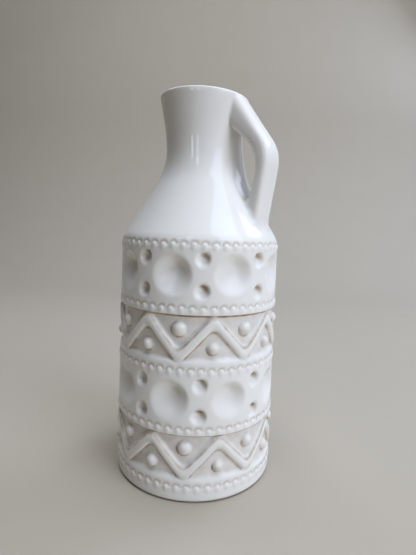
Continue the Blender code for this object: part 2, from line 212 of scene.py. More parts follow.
class VaseGlazeLook(bpy.types.PropertyGroup):
    """Colours of the glaze and the clay, and the heights at which bare clay and satin glaze end."""
    glaze: colour("Glaze", "#eeede9", "Glaze where it lies full")
    cream: colour("Cream", "#e9e6dd", "Glaze where it lies warmer")
    # Tan and brown also paint shade and shadow into hollows, grooves, under edges and beside pellets
    tan: colour("Tan", "#a98d6b", "Clay showing through where the glaze runs thin")
    brown: colour("Brown", "#54402e", "Deepest colour in grooves and along thin edges")
    clay: colour("Clay", "#a4724a", "Bare fired clay of the foot ring")
    clay_edge: length("Clay edge", 1.1, "Height up to which the foot is wiped clean of glaze")
    satin_top: length("Satin top", 158.0, "Height up to which the relief's glaze fired satin")


class VaseStageLook(bpy.types.PropertyGroup):
    """Camera, light and floor."""
    camera_turn: angle("Camera turn", 32.5, "Turn of the camera round the vase, from looking along +Y")
    camera_distance: length("Camera distance", 271.5, "Distance of the camera from the vase's axis")
    camera_aside: length("Camera aside", 6.3, "Shift of the camera to its right")
    camera_height: length("Camera height", 165.3, "Height of the camera over the floor")
    camera_pitch: angle("Camera pitch", 6.98, "Tilt of the camera below level")
    camera_roll: angle("Camera roll", 2.16, "Roll of the camera round its view")
    lens: bpy.props.FloatProperty(
        name="Lens", description="Focal length for a 36 mm long side", default=25.07, unit="CAMERA"
    )
    floor: colour("Floor", "#b0a797", "Pale floor and backdrop")
    floor_reach: length("Floor reach", 2200.0, "Half width of the floor")
    backdrop_distance: length("Backdrop distance", 1300.0, "Distance of the backdrop behind the vase")
    backdrop_height: length("Backdrop height", 2200.0, "Height of the backdrop")
    backdrop_round: length("Backdrop round", 600.0, "Radius between floor and backdrop")
    window_light: colour("Window light", "#d0e0ff", "Colour of the light that comes in from the right")
    room_light: colour("Room light", "#eef4ff", "Colour of the light from the ceiling")
    bounce_light: colour("Bounce light", "#f1f5ff", "Colour of the light thrown up by the room's floor")
    surround: colour("Surround", "#a08c74", "Colour of the dim room all round")


def ease(low, high, value):
    """Ease from 0 at low to 1 at high."""
    part = np.clip((value - low) / (high - low), 0.0, 1.0)
    return part * part * (3.0 - 2.0 * part)


def wall_radius(body, height):
    """Outer radius of the plain wall at a height."""
    return body.base_radius + (body.shoulder_radius - body.base_radius) * height / body.shoulder_height


def outer_radius(body, height):
    """Outer radius of the wall at a height, eased in over the shoulder."""
    climb = np.clip(height - shoulder_start(body), 0.0, body.shoulder_round)
    return wall_radius(body, height) - body.shoulder_round + np.sqrt(body.shoulder_round ** 2 - climb ** 2)


def throat_height(body):
    """Height of the narrowest place."""
    tangent_radius = body.throat_radius + body.throat_round * (1.0 - math.cos(body.cone_lean))
    cone = (body.shoulder_radius - tangent_radius) / math.tan(body.cone_lean)
    return body.shoulder_height + cone + body.throat_round * math.sin(body.cone_lean)


def total_height(body):
    """Height of the lip."""
    return throat_height(body) + body.neck_height


def shoulder_start(body):
    """Height at which the wall begins to round into the shoulder."""
    return body.shoulder_height - body.shoulder_round * math.tan(body.cone_lean / 2.0)


def neck_radius(body, height):
    """Outer radius between throat and lip: upright at the throat, leaning out at the lip."""
    part = (height - throat_height(body)) / body.neck_height
    rise = (body.lip_radius - body.throat_radius) * (3.0 * part ** 2 - 2.0 * part ** 3)
    lean = body.neck_height * math.tan(body.lip_flare) * (part ** 3 - part ** 2)
    return body.throat_radius + rise + lean


# Rows of faces in the shoulder, the cone, the throat and the neck, and those in each edge of the lip
OUTER_ROWS, OUTER_LIP_ROWS = (15, 10, 14, 14), 5
INNER_ROWS = (5, 4, 7, 7)
MEASURED_ROWS, MEASURED_LIP_ROWS = (24, 24, 48, 48), 12

# Rows down the hollow, across the floor, and in the round edges inside and under the foot
HOLLOW_ROWS = 8
FLOOR_ROWS = 4
FOOT_EDGE_ROWS = 6


def arc(centre, radius, start, end, steps):
    """Points of an arc in the radius-height plane, both ends included."""
    turns = [start + (end - start) * step / steps for step in range(steps + 1)]
    return [(centre[0] + radius * math.cos(turn), centre[1] + radius * math.sin(turn)) for turn in turns]


def upper_outline(body, depth, rows):
    """Shoulder, cone, throat and neck up to the lip, a depth inside the outer face.

    rows holds the number of rows in the shoulder, the cone, the throat and the neck.
    """
    shoulder_rows, cone_rows, throat_rows, neck_rows = rows
    shoulder_centre = (body.shoulder_radius - body.shoulder_round, shoulder_start(body))
    shoulder = arc(shoulder_centre, body.shoulder_round - depth, 0.0, body.cone_lean, shoulder_rows)
    throat_centre = (body.throat_radius + body.throat_round, throat_height(body))
    throat = arc(throat_centre, body.throat_round + depth, math.pi + body.cone_lean, math.pi, throat_rows)
    cone = []
    for step in range(1, cone_rows):
        part = step / cone_rows
        cone.append(tuple(a + (b - a) * part for a, b in zip(shoulder[-1], throat[0])))
    neck = []
    for step in range(1, neck_rows + 1):
        height = throat_height(body) + (body.neck_height - body.lip_edge_round) * step / neck_rows
        neck.append((neck_radius(body, height) - depth, height))
    return shoulder + cone + throat + neck


def lip_outline(body, steps):
    """The lip's two rounded edges, from the outer face over to the inner face."""
    height = total_height(body) - body.lip_edge_round
    outer_centre = (neck_radius(body, height) - body.lip_edge_round, height)
    inner_centre = (neck_radius(body, height) - body.wall + body.lip_edge_round, height)
    outer_edge = arc(outer_centre, body.lip_edge_round, 0.0, math.pi / 2.0, steps)
    return outer_edge + arc(inner_centre, body.lip_edge_round, math.pi / 2.0, math.pi, steps)


def tip_lip(body, spots):
    """Tip the lip out of level, as the soft casting settled, by raising and lowering places on the neck."""
    towards = spots[:, 0] * math.cos(body.lip_high_side) + spots[:, 1] * math.sin(body.lip_high_side)
    share = ease(throat_height(body), total_height(body), spots[:, 2])
    spots[:, 2] += towards * math.tan(body.lip_tip) * share


# Height above and below the throat's swelling, and angle to either side, at which it fades out
SWELL_HEIGHT = 26.0 * MM
SWELL_REACH = math.radians(45.0)

# How far the middle of the swelling is below the throat
SWELL_DROP = SWELL_HEIGHT / 3.0


def swell_throat(body, spots):
    """Swell the throat behind the handle, where the damp wall gave as the handle was luted on."""
    radius = np.hypot(spots[:, 0], spots[:, 1])
    middle = throat_height(body) - SWELL_DROP
    turn = np.arctan2(spots[:, 1], spots[:, 0]) - body.throat_swell_side
    near = ease(SWELL_REACH, 0.0, np.abs(turn)) * ease(SWELL_HEIGHT, 0.0, np.abs(spots[:, 2] - middle))
    spots[:, :2] *= (1.0 + body.throat_swell * near / np.maximum(radius, MM))[:, None]


# Row heights up the wall: crisp relief has close rows, soft dimples have wide ones
CRISP_ROW = 0.35 * MM
BEAD_ROW = 0.53 * MM
RIBBON_ROW = 0.76 * MM
DIMPLE_ROW = 1.2 * MM


def row_step(relief, height):
    """Height of the next row of faces up the wall."""
    for bottom in relief.register_bottoms:
        rise = height - bottom
        if abs(rise - relief.sunk_top) < relief.step_width:
            return CRISP_ROW
        if 0.0 <= rise < relief.sunk_top:
            return RIBBON_ROW
    for row in relief.bead_heights:
        if -relief.bead_tail < height - row < relief.bead_radius + 2.0 * relief.bead_groove_width:
            return BEAD_ROW
    return DIMPLE_ROW


def wall_outline(body, relief):
    """The plain wall from the foot edge up to the shoulder, without either end."""
    points = []
    height = body.foot_edge_round + DIMPLE_ROW
    while height < shoulder_start(body) - BEAD_ROW / 2.0:
        points.append((wall_radius(body, height), height))
        height += row_step(relief, height)
    return points


def underside_outline(body):
    """The underside from its middle out to the foot ring and round the foot edge."""
    ring_inner = body.base_radius - body.foot_edge_round - body.foot_ring_width
    recess_edge = ring_inner - body.foot_recess_slope
    points = [(recess_edge * step / FLOOR_ROWS, body.foot_recess) for step in range(FLOOR_ROWS + 1)]
    points += [(ring_inner, 0.0), (ring_inner + body.foot_ring_width / 2.0, 0.0)]
    edge_centre = (body.base_radius - body.foot_edge_round, body.foot_edge_round)
    return points + arc(edge_centre, body.foot_edge_round, -math.pi / 2.0, 0.0, FOOT_EDGE_ROWS)


def hollow_outline(body):
    """The inside from under the lip down to the middle of the floor."""
    floor_top = body.foot_recess + body.floor
    inner_radius = wall_radius(body, floor_top) - body.wall
    points = upper_outline(body, body.wall, INNER_ROWS)[::-1]
    top_height = points[-1][1]
    for step in range(1, HOLLOW_ROWS):
        height = top_height + (floor_top + body.floor_round - top_height) * step / HOLLOW_ROWS
        points.append((wall_radius(body, height) - body.wall, height))
    fillet_centre = (inner_radius - body.floor_round, floor_top + body.floor_round)
    points += arc(fillet_centre, body.floor_round, 0.0, -math.pi / 2.0, FOOT_EDGE_ROWS)
    for step in range(1, FLOOR_ROWS + 1):
        points.append((fillet_centre[0] * (1.0 - step / FLOOR_ROWS), floor_top))
    return points


def body_outline(body, relief):
    """The whole section, from the middle of the underside over the lip to the middle of the floor."""
    lower = underside_outline(body) + wall_outline(body, relief)
    upper = upper_outline(body, 0.0, OUTER_ROWS) + lip_outline(body, OUTER_LIP_ROWS)[1:-1]
    return lower + upper + hollow_outline(body)


def deselect():
    """Leave nothing selected, so that an operator acts on the new piece alone."""
    bpy.ops.object.select_all(action="DESELECT")


def draw_outline(points):
    """Draw an outline in edit mode on a new object: one vertex, extruded from point to point."""
    bpy.ops.mesh.primitive_plane_add(size=MM, location=(0.0, 0.0, 0.0))
    bpy.ops.object.mode_set(mode="EDIT")
    bpy.ops.mesh.select_mode(type="VERT")
    bpy.ops.mesh.merge(type="CENTER")
    bpy.ops.transform.translate(value=(points[0][0], 0.0, points[0][1]))
    for before, after in zip(points, points[1:]):
        move = (after[0] - before[0], 0.0, after[1] - before[1])
        bpy.ops.mesh.extrude_vertices_move(TRANSFORM_OT_translate={"value": move})


def close_surface():
    """Weld the seam of the piece in edit mode, close its open ends and turn its faces out."""
    bpy.ops.mesh.select_all(action="SELECT")
    bpy.ops.mesh.remove_doubles(threshold=MERGE_DISTANCE)
    bpy.ops.mesh.fill_holes(sides=0)
    bpy.ops.mesh.select_all(action="SELECT")
    bpy.ops.mesh.normals_make_consistent(inside=False)


def turn_outline(columns):
    """Turn the drawn outline about the vase's axis and close its seam and poles."""
    bpy.ops.object.mode_set(mode="OBJECT")
    bpy.ops.object.modifier_add(type="SCREW")
    turn = bpy.context.object.modifiers[-1]
    turn.steps = turn.render_steps = columns
    turn.use_merge_vertices = True
    turn.merge_threshold = MERGE_DISTANCE
    bpy.ops.object.modifier_apply(modifier=turn.name)
    bpy.ops.object.mode_set(mode="EDIT")
    close_surface()


# Part of the wall's thickness within which a place counts as on its outer face
NEAR_FACE = 0.2


def on_relief(body, radius, height):
    """Whether places are on the outer wall between the foot edge and the shoulder."""
    outside = radius > outer_radius(body, height) - NEAR_FACE * body.wall
    return outside & (height > body.foot_edge_round) & (height < body.shoulder_height + MM)


def thin_plain_columns(body):
    """Dissolve most of the columns where the surface is plain, so that the relief can have more."""
    bpy.ops.mesh.select_mode(type="EDGE")
    bpy.ops.mesh.select_all(action="DESELECT")
    shape = bmesh.from_edit_mesh(bpy.context.edit_object.data)
    shape.verts.index_update()
    spots = np.array([vertex.co for vertex in shape.verts])
    radius = np.hypot(spots[:, 0], spots[:, 1])
    relieved = on_relief(body, radius, spots[:, 2])
    column = np.round(np.arctan2(spots[:, 1], spots[:, 0]) / math.tau * body.columns) % body.columns
    for edge in shape.edges:
        near, far = sorted((vertex.index for vertex in edge.verts), key=lambda index: radius[index])
        upright = radius[near] < MM or column[near] == column[far]
        plain = not (relieved[near] and relieved[far])
        if upright and plain and column[far] % body.plain_columns_in:
            edge.select_set(True)
    bpy.ops.mesh.dissolve_edges(use_verts=True)


# How thin the glaze breaks, plus painted shade, at each feature: 0 leaves it full, 0.5 shows tan and 1 shows
# brown
DIMPLE_THIN_AND_SHADE = 0.14
PIT_THIN_AND_SHADE = 0.8
GROUND_THIN_AND_SHADE = 0.14
UPPER_EDGE_THIN = 0.42
LOWER_EDGE_THIN_AND_SHADOW = 0.5
STEP_THIN_AND_SHADOW = 1.3
PELLET_THIN_AND_SHADOW = 0.6
BEAD_THIN_AND_SHADE = 0.28

# Half widths of the lines of thin glaze and painted shade: in metres, or for pellets in parts of their radius
EDGE_LINE = 0.65 * MM
STEP_LINE = 0.5 * MM
BEAD_LINE = 0.7 * MM
PELLET_LINE = 0.14

# Where a break and its painted shade fade in across a feature: parts of its radius towards the upper right,
# or up for a bead; the pellets' values turn it to their lower left, away from the light
DIMPLE_FADE = (0.0, 0.8)
PIT_FADE = (-0.1, 1.0)
PELLET_FADE = (0.2, -0.8)
BEAD_FADE = (-0.4, 0.6)

# Powers of the profiles: below 1 they are blunt, above 1 they are soft
DIMPLE_POWER = 1.6
PIT_POWER = 0.9
LEDGE_POWER = 0.7
PELLET_POWER = 0.6
BEAD_POWER = 1.2

# How much a step aside counts beside a step up, on the way to a feature's upper right
SLANT = 0.6

# Part of the ledge's height over which it stands full, and place of a pellet's broken line, in radii
LEDGE_FULL = 0.2
PELLET_RIM = 1.05

# How far the ribbon's line of thin glaze runs inside its upper edge, and its line of thin glaze and painted
# shadow outside its lower one, in half flanks
UPPER_EDGE_IN = 0.8
LOWER_EDGE_OUT = 0.4

# How far the line of thin glaze and painted shadow under the ground's upper edge runs below it, in widths of
# the step
STEP_LINE_UNDER = 0.6

# How far outside a bead its groove and the line of thin glaze and painted shade in it run, in half widths of
# the groove
GROOVE_OUT = 0.5
BEAD_LINE_OUT = 0.3

# Spread of the sizes of like features, and share of the others' stray that beads show
SIZE_STRAY = 0.03
BEAD_STRAY = 0.6


class WallPlaces:
    """Places on the wall, with the relief's rise over it, how thin the glaze breaks there and how much shade
    is painted there.
    """

    def __init__(self, body, turn, height):
        self.turn = turn
        self.height = height
        self.radius = wall_radius(body, height)
        self.rise = np.zeros_like(turn)
        self.thin = np.zeros_like(turn)

    def around(self, first, count):
        """Number of the nearest of evenly spaced features, and the distance along the wall from it."""
        step = math.tau / count
        number = np.round((self.turn - first) / step)
        along = (self.turn - first - number * step) * self.radius
        return number.astype(int) % count, along

    def mark(self, amount):
        """Keep the strongest thin glaze and painted shade that any feature asks for."""
        self.thin = np.maximum(self.thin, amount)


def stray(draws, count, amount):
    """Small errors of hand for a row of features: along the wall, up it, and in size."""
    shift = draws.normal(0.0, amount, count)
    lift = draws.normal(0.0, amount, count)
    return shift, lift, draws.normal(1.0, SIZE_STRAY, count)


def line(distance, width):
    """1 on a line, fading out over a width on both sides."""
    return np.exp(-(distance / width) ** 2)


def to_upper_right(aside, over, radius):
    """How far places are towards a feature's upper right, in parts of its radius."""
    return (SLANT * aside + over) / radius


def pressed(aside, over, radius, lean):
    """How far places are from a hollow's deepest point, 0, to its rim, 1.

    The hollow is pressed at a slant: its circles shrink from the rim towards a point off the middle.
    """
    across, up = lean
    from_deepest = (aside / radius - across, over / radius - up)
    towards = from_deepest[0] * across + from_deepest[1] * up
    room = 1.0 - across ** 2 - up ** 2
    square = from_deepest[0] ** 2 + from_deepest[1] ** 2
    return (towards + np.sqrt(towards ** 2 + room * square)) / room


def press_dimples(places, relief, middle, draws):
    """Press a band's large dimples and the pairs of pits between them."""
    count = relief.dimple_count
    number, along = places.around(relief.dimple_turn, count)
    shift, lift, size = stray(draws, count, relief.handwork)
    aside = along - shift[number]
    over = places.height - middle - lift[number]
    part = np.clip(pressed(aside, over, relief.dimple_radius * size[number], relief.press_lean), 0.0, 1.0)
    places.rise -= relief.dimple_depth * (1.0 - part ** 2) ** DIMPLE_POWER
    # A dimple's upper right, turned from the light, gets painted shade in tan besides thin glaze
    shaded_upper_right = ease(*DIMPLE_FADE, to_upper_right(aside, over, relief.dimple_radius))
    places.mark(DIMPLE_THIN_AND_SHADE * (1.0 - part) * shaded_upper_right)
    number, along = places.around(relief.dimple_turn + math.pi / count, count)
    for spread in (relief.pit_spread, -relief.pit_spread):
        shift, lift, size = stray(draws, count, relief.handwork)
        aside = along - shift[number]
        over = places.height - middle - spread - lift[number]
        part = pressed(aside, over, relief.pit_radius * size[number], relief.press_lean)
        hollow = np.clip(1.0 - part ** 2, 0.0, 1.0) ** PIT_POWER
        places.rise -= relief.pit_depth * hollow
        # A pit's upper right, turned from the light, is painted in brown shade besides thin glaze
        shaded_upper_right = ease(*PIT_FADE, to_upper_right(aside, over, relief.pit_radius))
        places.mark(PIT_THIN_AND_SHADE * hollow * shaded_upper_right)


def ribbon_distance(places, relief, rise, turn):
    """Distance over the ribbon's rounded middle line, below 0 under it, taken square to its strokes."""
    half_step = math.pi / relief.ribbon_count
    away = np.abs(np.mod(places.turn - turn + half_step, 2.0 * half_step) - half_step) * places.radius
    run = half_step * places.radius
    slope = 2.0 * relief.ribbon_swing / run
    soft = relief.ribbon_corner

    def from_corner(across):
        """Distance up or down from a sharp corner to the rounded line, at a distance along the wall."""
        drop = slope * across
        return np.where(drop < soft, (drop ** 2 / soft + soft) / 2.0, drop)

    near_upper = relief.ribbon_middle + relief.ribbon_swing - from_corner(away)
    near_lower = relief.ribbon_middle - relief.ribbon_swing + from_corner(run - away)
    middle_line = np.where(away < run / 2.0, near_upper, near_lower)
    return (rise - middle_line) / np.hypot(1.0, slope)


def raise_pellets(places, relief, carved, rise, turn, draws):
    """Set a pellet under and between the ribbon's upper corners, and give the carved relief with them."""
    count = relief.ribbon_count
    for first, height, radius in (
        (turn, relief.pellet_low, relief.pellet_low_radius),
        (turn + math.pi / count, relief.pellet_high, relief.pellet_high_radius),
    ):
        number, along = places.around(first, count)
        shift, lift, size = stray(draws, count, relief.handwork)
        away = np.hypot(along - shift[number], rise - height - lift[number])
        part = away / (radius * size[number])
        dome = np.clip(1.0 - part ** 2, 0.0, 1.0) ** PELLET_POWER
        pellet = relief.pellet_proud * dome - relief.sunk_depth
        carved = np.where(part < 1.0, np.maximum(carved, pellet), carved)
        # Painted shadow at each pellet's lower left, away from the light, with thin glaze round its foot
        shadowed_lower_left = ease(*PELLET_FADE, to_upper_right(along, rise - height, radius))
        places.mark(PELLET_THIN_AND_SHADOW * line(part - PELLET_RIM, PELLET_LINE) * shadowed_lower_left)
    return carved


def carve_zigzag(places, relief, bottom, turn, draws):
    """Sink the ground of a zigzag register and leave its ledge, ribbon and pellets standing."""
    rise = places.height - bottom
    inside = (rise > 0.0) & (rise < relief.sunk_top + relief.step_width)
    ledge_part = np.clip((rise / relief.ledge_height - LEDGE_FULL) / (1.0 - LEDGE_FULL), 0.0, 1.0)
    ledge = (1.0 - ledge_part ** 2) ** LEDGE_POWER
    step = ease(relief.sunk_top - relief.step_width, relief.sunk_top, rise)
    ground = -relief.sunk_depth * (1.0 - np.maximum(ledge, step))
    over = ribbon_distance(places, relief, rise, turn)
    distance = np.abs(over)
    half = relief.ribbon_half_width
    flank = relief.ribbon_flank / 2.0
    ribbon = ease(half + flank, half - flank, distance)
    crown = relief.ribbon_proud - relief.ribbon_crown * (distance / half) ** 2
    carved = ground + (crown - ground) * ribbon
    in_ground = ease(0.5 * relief.ledge_height, relief.ledge_height, rise) * inside
    # The sunk ground is painted a little darker and warmer, as shade in the recess, besides thin glaze
    places.mark(GROUND_THIN_AND_SHADE * in_ground * (1.0 - ribbon) * (1.0 - step))
    upper_edge = line(distance - half + UPPER_EDGE_IN * flank, EDGE_LINE) * (over > 0.0)
    # Under the ribbon's lower edge, turned from the light, the line is partly painted shadow
    shadowed_lower_edge = line(distance - half - LOWER_EDGE_OUT * flank, EDGE_LINE) * (over < 0.0)
    places.mark((UPPER_EDGE_THIN * upper_edge + LOWER_EDGE_THIN_AND_SHADOW * shadowed_lower_edge) * in_ground)
    # Painted shadow in brown under the ground's overhanging upper edge, with thin glaze
    shadow_under_step = line(rise - relief.sunk_top + STEP_LINE_UNDER * relief.step_width, STEP_LINE)
    places.mark(STEP_THIN_AND_SHADOW * shadow_under_step * (1.0 - ribbon) * inside)
    carved = raise_pellets(places, relief, carved, rise, turn, draws)
    places.rise = np.where(inside, places.rise + carved, places.rise)


def raise_beads(places, relief, row, draws):
    """Raise one row of beads: round and set off by a groove above, fading into the wall below."""
    number, along = places.around(0.0, relief.bead_count)
    shift, lift, size = stray(draws, relief.bead_count, BEAD_STRAY * relief.handwork)
    radius = relief.bead_radius * size[number]
    width = relief.bead_groove_width
    above = places.height - row - lift[number]
    stretch = np.where(above > 0.0, 1.0, relief.bead_radius / relief.bead_tail)
    away = np.hypot(along - shift[number], above * stretch)
    bead = np.clip(1.0 - (away / radius) ** 2, 0.0, 1.0) ** BEAD_POWER
    upper_half = ease(*BEAD_FADE, above / radius)
    groove = line(away - radius - GROOVE_OUT * width, width) * upper_half
    places.rise += relief.bead_proud * bead - relief.bead_groove * groove
    # Painted shade in the groove over each bead, with thin glaze
    places.mark(BEAD_THIN_AND_SHADE * line(away - radius - BEAD_LINE_OUT * width, BEAD_LINE) * upper_half)


def cast_relief(mesh, body, relief):
    """Move the wall's vertices in and out by the relief, and keep where the glaze runs thin and where shade
    is painted.
    """
    count = len(mesh.vertices)
    spots = np.empty(count * 3)
    mesh.vertices.foreach_get("co", spots)
    spots = spots.reshape(count, 3)
    radius = np.hypot(spots[:, 0], spots[:, 1])
    height = spots[:, 2]
    turn = np.arctan2(spots[:, 1], spots[:, 0])
    relieved = on_relief(body, radius, height)
    places = WallPlaces(body, turn[relieved], height[relieved])
    draws = np.random.default_rng(RELIEF_SEED)
    for bottom, first, rise in zip(relief.register_bottoms, relief.zigzag_turns, relief.dimple_rises):
        press_dimples(places, relief, bottom + rise, draws)
        carve_zigzag(places, relief, bottom, first, draws)
    for row in relief.bead_heights:
        raise_beads(places, relief, row, draws)
    spots[relieved, :2] *= (1.0 + places.rise / radius[relieved])[:, None]
    swell_throat(body, spots)
    tip_lip(body, spots)
    mesh.vertices.foreach_set("co", spots.ravel())
    # thin holds thin glaze and painted shade together
    thin = np.zeros(count)
    thin[relieved] = places.thin
    mesh.attributes.new("thin_glaze", "FLOAT", "POINT").data.foreach_set("value", thin)
    mesh.update()


class VASE_OT_make_body(bpy.types.Operator):
    """Turn the hollow casting, cast its relief and glaze it"""
    bl_idname = "vase.make_body"
    bl_label = "Make Body"

    def execute(self, context):
        body = context.scene.vase_body
        relief = context.scene.vase_relief
        deselect()
        draw_outline(body_outline(body, relief))
        turn_outline(body.columns)
        thin_plain_columns(body)
        bpy.ops.object.mode_set(mode="OBJECT")
        piece = context.object
        piece.name = piece.data.name = "relief_cast_body"
        cast_relief(piece.data, body, relief)
        bpy.ops.object.shade_smooth()
        glaze = glaze_material("white_gloss_glaze_on_cast_body", context.scene.vase_glaze)
        piece.data.materials.append(glaze)
        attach(piece, "root")
        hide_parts("vessel_body")
        return {"FINISHED"}


# Faces round the strap's section, rows along it and in each root, and steps of the paths that shape it
STRAP_ROUND = 48
STRAP_ROWS = 60
FILLET_ROWS = 8
ARM_STEPS = 30
ELBOW_STEPS = 30

# How far the strap's end spreads under the glaze, in parts of the fillet, and how soon it dips there
ROOT_SPREAD = 1.25
ROOT_DIP = 0.15

# Short step along the body's outline, to find which way it runs
NUDGE = 0.1 * MM


def eased_corner(start, corner, end, radius):
    """A path from start to end with its corner rounded, as evenly counted points."""
    towards_start = (start - corner).normalized()
    towards_end = (end - corner).normalized()
    half_angle = towards_start.angle(towards_end) / 2.0
    tangent = radius / math.tan(half_angle)
    centre = corner + (towards_start + towards_end).normalized() * (radius / math.sin(half_angle))
    first = corner + towards_start * tangent
    last = corner + towards_end * tangent
    points = [start.lerp(first, step / ARM_STEPS) for step in range(ARM_STEPS)]
    for step in range(ELBOW_STEPS + 1):
        spoke = (first - centre).slerp(last - centre, step / ELBOW_STEPS)
        points.append(centre + spoke.normalized() * radius)
    points += [last.lerp(end, step / ARM_STEPS) for step in range(1, ARM_STEPS + 1)]
    return points


def strap_faces(body, handle):
    """Paths of the strap's outer and inner face in the radius-height plane, run on into the body.

    The outer face leaves the neck where the lip's edge begins to round.
    """
    top = total_height(body) - body.lip_edge_round
    top_inner = top - handle.top_depth
    elbow = Vector((handle.elbow_reach, total_height(body) - handle.elbow_drop))
    foot_inner = handle.foot_radius - handle.foot_depth
    starts = (Vector((neck_radius(body, top), top)), Vector((neck_radius(body, top_inner), top_inner)))
    ends = [
        Vector((radius, body.shoulder_height + (body.shoulder_radius - radius) / math.tan(body.cone_lean)))
        for radius in (handle.foot_radius, foot_inner)
    ]
    set_back = (starts[0] - elbow).normalized() + (ends[0] - elbow).normalized()
    elbows = (elbow, elbow + set_back.normalized() * handle.elbow_set_back)
    rounds = (handle.elbow_round_outer, handle.elbow_round_inner)
    paths = []
    for start, corner, end, radius in zip(starts, elbows, ends, rounds):
        start = start + (start - corner).normalized() * handle.burial
        end = end + (end - corner).normalized() * handle.burial
        paths.append(eased_corner(start, corner, end, radius))
    return paths


def strap_lines(body, handle):
    """Lines along the strap, one for each point round its section, as an array of points."""
    outer, inner = (np.array(path) for path in strap_faces(body, handle))
    middle = (outer + inner) / 2.0
    half_thickness = (outer - inner) / 2.0
    turns = math.tau * (np.arange(STRAP_ROUND) + 0.5) / STRAP_ROUND
    power = 2.0 / handle.squareness
    across, aside = (np.sign(wave) * np.abs(wave) ** power for wave in (np.cos(turns), np.sin(turns)))
    lines = np.empty((STRAP_ROUND, len(middle), 3))
    flat = middle[None] + half_thickness[None] * across[:, None, None]
    lines[:, :, 0] = flat[:, :, 0]
    lines[:, :, 1] = (aside * handle.width / 2.0)[:, None]
    lines[:, :, 2] = flat[:, :, 1]
    return lines


def distances(path):
    """Distance of each point of a path from its start, along the path."""
    return np.concatenate(([0.0], np.cumsum(np.linalg.norm(np.diff(path, axis=0), axis=1))))


class OuterFace:
    """The body's outer face from shoulder to lip, measured along its outline."""

    def __init__(self, body):
        outline = upper_outline(body, 0.0, MEASURED_ROWS) + lip_outline(body, MEASURED_LIP_ROWS)[1:]
        self.points = np.array(outline)
        self.along = distances(self.points)
        self.rising = slice(int(np.argmax(self.points[:, 1])) + 1)

    def radius_at(self, height):
        """Outer radius at a height, with nothing above the lip."""
        radii, heights = self.points[self.rising].T
        return np.where(height > heights[-1], -1.0, np.interp(height, heights, radii))

    def along_at(self, height):
        """Distance along the outline at a height."""
        return np.interp(height, self.points[self.rising, 1], self.along[self.rising])

    def outline_at(self, along):
        """Radius and height at a distance along the outline."""
        return np.array([np.interp(along, self.along, values) for values in self.points.T])

    def point(self, turn, along, depth=0.0):
        """The place at an angle round the axis and a distance along the outline, a depth under the face."""
        place = self.outline_at(along)
        ahead, climb = self.outline_at(along + NUDGE) - place
        size = np.hypot(ahead, climb)
        radius = place[0] - depth * climb / size
        height = place[1] + depth * ahead / size
        return np.stack((radius * np.cos(turn), radius * np.sin(turn), height), axis=-1)


def walk_to_face(path, face):
    """Follow a line from its middle towards its end, to where it enters the body.

    Gives the line up to that place, which is its last point.
    """
    gap = np.hypot(path[:, 0], path[:, 1]) - face.radius_at(path[:, 2])
    if gap.min() > 0.0:
        raise ValueError("A line along the strap misses the body: lower its root or give it more burial")
    entry = int(np.argmax(gap <= 0.0))
    part = gap[entry - 1] / (gap[entry - 1] - gap[entry])
    crossing = path[entry - 1] + (path[entry] - path[entry - 1]) * part
    return np.vstack((path[:entry], crossing))


def root_rows(crossings, leaves, face, fillet, cover):
    """Rows that carry the strap in a hollow curve onto the body, and the two buried rows that end it."""
    turns = np.arctan2(crossings[:, 1], crossings[:, 0])
    radius = np.hypot(crossings[:, 0], crossings[:, 1])
    along = face.along_at(crossings[:, 2])
    sideways = turns * radius
    upward = along - (along.min() + along.max()) / 2.0
    size = np.hypot(sideways, upward)
    turn_spread = fillet * sideways / (size * radius)
    along_spread = fillet * upward / size
    landings = face.point(turns + turn_spread, along + along_spread)
    rows = []
    for step in range(1, FILLET_ROWS + 1):
        part = step / FILLET_ROWS
        rows.append((1.0 - part) ** 2 * leaves + 2.0 * part * (1.0 - part) * crossings + part ** 2 * landings)
    for depth in (ROOT_DIP * cover, cover):
        rows.append(face.point(turns + ROOT_SPREAD * turn_spread, along + ROOT_SPREAD * along_spread, depth))
    return rows


def strap_rows(body, handle):
    """All rows of the strap from its upper to its lower root, each a ring of points."""
    face = OuterFace(body)
    lines = strap_lines(body, handle)
    half = lines.shape[1] // 2
    tops, feet, runs = [], [], []
    for path in lines:
        upper = walk_to_face(path[half::-1], face)
        lower = walk_to_face(path[half:], face)
        run = np.vstack((upper[::-1], lower[1:]))
        steps = distances(run)
        places = np.linspace(handle.top_fillet, steps[-1] - handle.foot_fillet, STRAP_ROWS)
        runs.append(np.stack([np.interp(places, steps, values) for values in run.T], axis=-1))
        tops.append(upper[-1])
        feet.append(lower[-1])
    runs = np.array(runs)
    top_rows = root_rows(np.array(tops), runs[:, 0], face, handle.top_fillet, handle.root_cover)
    foot_rows = root_rows(np.array(feet), runs[:, -1], face, handle.foot_fillet, handle.root_cover)
    middle_rows = [runs[:, row] for row in range(STRAP_ROWS)]
    rows = np.array(top_rows[::-1] + middle_rows + foot_rows)
    tip_lip(body, rows.reshape(-1, 3))
    return rows


